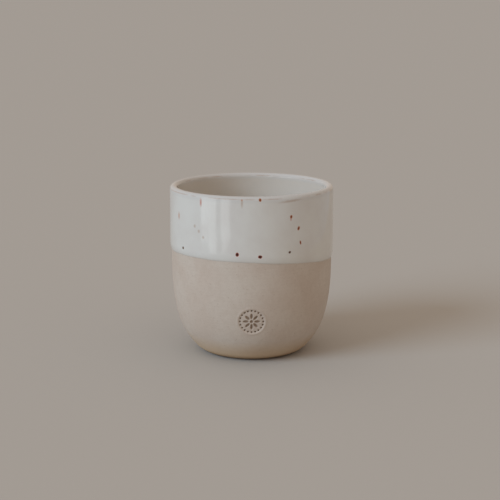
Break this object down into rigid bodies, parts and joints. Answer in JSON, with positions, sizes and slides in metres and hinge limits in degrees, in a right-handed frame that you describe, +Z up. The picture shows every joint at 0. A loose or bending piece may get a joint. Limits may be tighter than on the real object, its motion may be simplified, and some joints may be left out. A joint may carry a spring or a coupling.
{
  "type": "espresso cup",
  "caption": "Small straight-sided stoneware cup without a handle, rounded in to a narrow foot, white glazed inside and over its upper half, bare clay below.",
  "frame": {"origin": "on the cup's turning axis, in the plane that its foot stands on", "axes": "+Z up along the turning axis, out of the mouth; -Y towards the stamp in the bare clay; +X to the right of it"},
  "size_m": [0.062, 0.062, 0.0637],
  "materials": {
    "stoneware": "bare fired stoneware, warm beige, matt and finely grained",
    "liner_glaze": "glossy opaque white glaze with a few iron specks",
    "band_glaze": "glossy opaque white glaze with rust and near-black iron specks"
  },
  "bodies": {
    "root": {"stoneware_body": "stoneware", "liner_glaze": "liner_glaze", "band_glaze": "band_glaze"}
  },
  "joints": []
}
